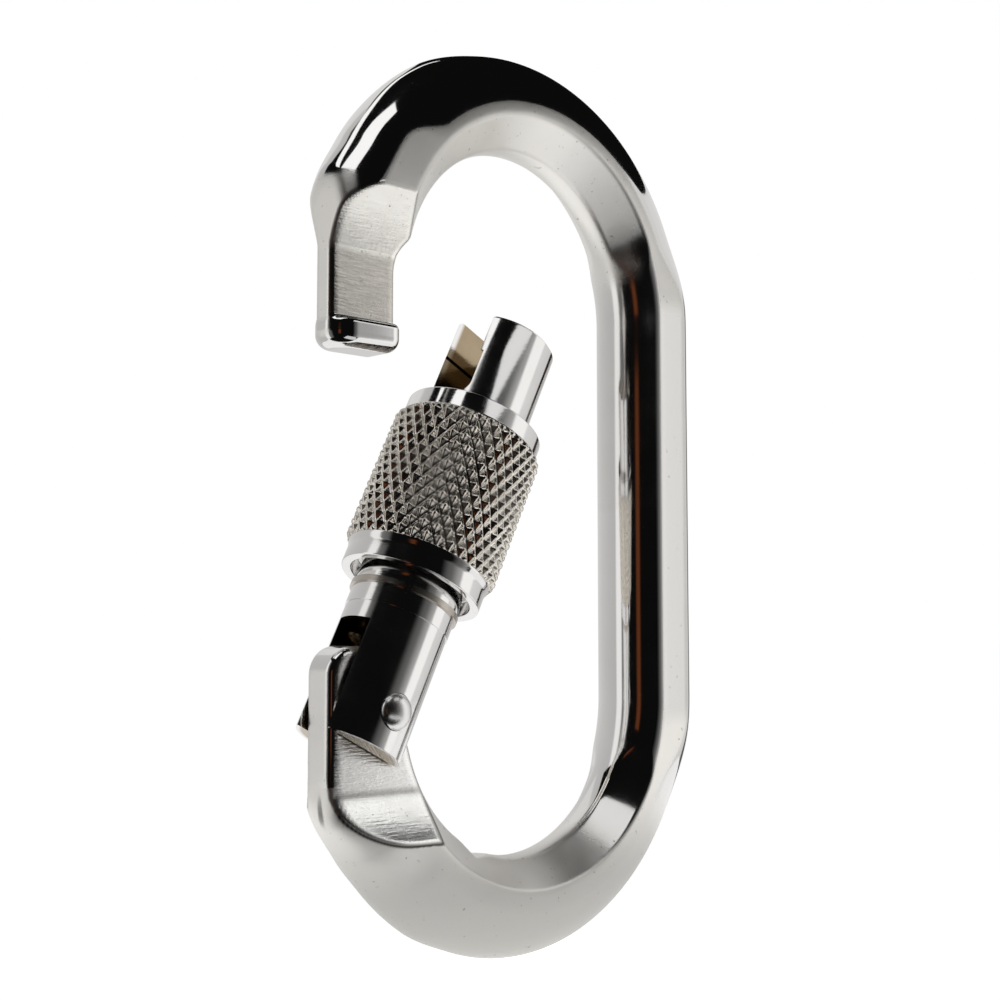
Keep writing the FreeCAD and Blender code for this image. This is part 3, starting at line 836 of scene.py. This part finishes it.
def make_panels(floor_z):
    """Panels that make the streaks on the bends and lift the undersides."""
    wide = [(-0.018, -0.033), (-0.018, -0.012), (-0.12, 0.018), (-0.12, -0.06)]
    make_panel("wide_strip", wide, STRIP_Z, 1.2)
    thin = [(0.03, 0.039), (0.03, 0.045), (-0.12, 0.064), (-0.12, 0.032)]
    make_panel("thin_strip", thin, STRIP_Z, 1.2)
    front = [(-0.016, -0.034), (0.022, -0.034), (0.022, -0.066), (-0.016, -0.066)]
    make_panel("front_strip", front, 0.0, 0.9)
    sheet = [(-0.07, -0.055), (0.035, -0.055), (0.035, -0.12), (-0.07, -0.12)]
    make_panel("front_sheet", sheet, floor_z, 0.7)


def make_warm_strip(floor_z):
    """Soft upright strip that puts the brown line on the spine."""
    points, values = [], []
    for degrees_left, level in ((8, 0.0), (13, 0.12), (18, 0.12), (23, 0.0)):
        spot = around(degrees_left, WARM_R)
        points += [(spot.x, spot.y, floor_z), (spot.x, spot.y, WARM_TOP)]
        values += [level, level]
    faces = [(0, 2, 3, 1), (2, 4, 5, 3), (4, 6, 7, 5)]
    emitter("warm_strip", points, faces, values, rgba(1.0, 0.3, 0.12))


def make_world():
    """Dark room for reflections, seen as plain white by the lens."""
    world = bpy.data.worlds.new("studio")
    bpy.context.scene.world = world
    world.use_nodes = True
    tree = world.node_tree
    tree.nodes.clear()
    path = tree.nodes.new("ShaderNodeLightPath")
    strength = tree.nodes.new("ShaderNodeMath")
    strength.operation = "MAXIMUM"
    strength.inputs[1].default_value = 0.004
    background = tree.nodes.new("ShaderNodeBackground")
    background.inputs["Color"].default_value = WHITE
    output = tree.nodes.new("ShaderNodeOutputWorld")
    tree.links.new(path.outputs["Is Camera Ray"], strength.inputs[0])
    tree.links.new(strength.outputs[0], background.inputs["Strength"])
    tree.links.new(background.outputs[0], output.inputs["Surface"])


def make_camera():
    data = bpy.data.cameras.new("camera")
    camera = bpy.data.objects.new("camera", data)
    bpy.context.scene.collection.objects.link(camera)
    camera.location = CAMERA_PLACE
    camera.rotation_euler = (CAMERA_TARGET - CAMERA_PLACE).to_track_quat("-Z", "Y").to_euler()
    data.lens = CAMERA_LENS_MM
    data.sensor_width = 36
    data.clip_start = 0.005
    bpy.context.scene.camera = camera


def break_edges(piece):
    """Small bevel on the gate's sharp CAD edges."""
    bevel = piece.modifiers.new("broken_edges", "BEVEL")
    bevel.width = 0.12 * MM
    bevel.segments = 2
    bevel.limit_method = "ANGLE"
    bevel.angle_limit = math.radians(40)


def main():
    make_camera()
    set_material(make_oval_body(), body_steel())
    set_material(make_sleeve(), turned_steel("sleeve_steel", BRIGHT, 0.06, 0.14, knurled=True))
    cad = frame["nodes"]
    break_edges(cad["gate_tube"])
    gate_steel = turned_steel("gate_steel", BRIGHT, 0.07, 0.15, brown_inside=True)
    set_material(cad["gate_tube"], gate_steel)
    set_material(make_rivet(), turned_steel("rivet_steel", BRIGHT, 0.22, 0.32))
    set_material(cad["sleeve_stop_ring"], turned_steel("ring_steel", BROWN, 0.2, 0.34))
    set_material(cad["spring_plunger"], turned_steel("plunger_steel", BRIGHT, 0.15, 0.3))
    set_material(cad["gate_spring"], turned_steel("spring_steel", BROWN, 0.2, 0.3))
    make_floor()
    low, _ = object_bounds()
    make_light_wall(low.z)
    make_panels(low.z)
    make_warm_strip(low.z)
    make_world()
    bpy.context.scene.view_settings.view_transform = "Standard"


main()
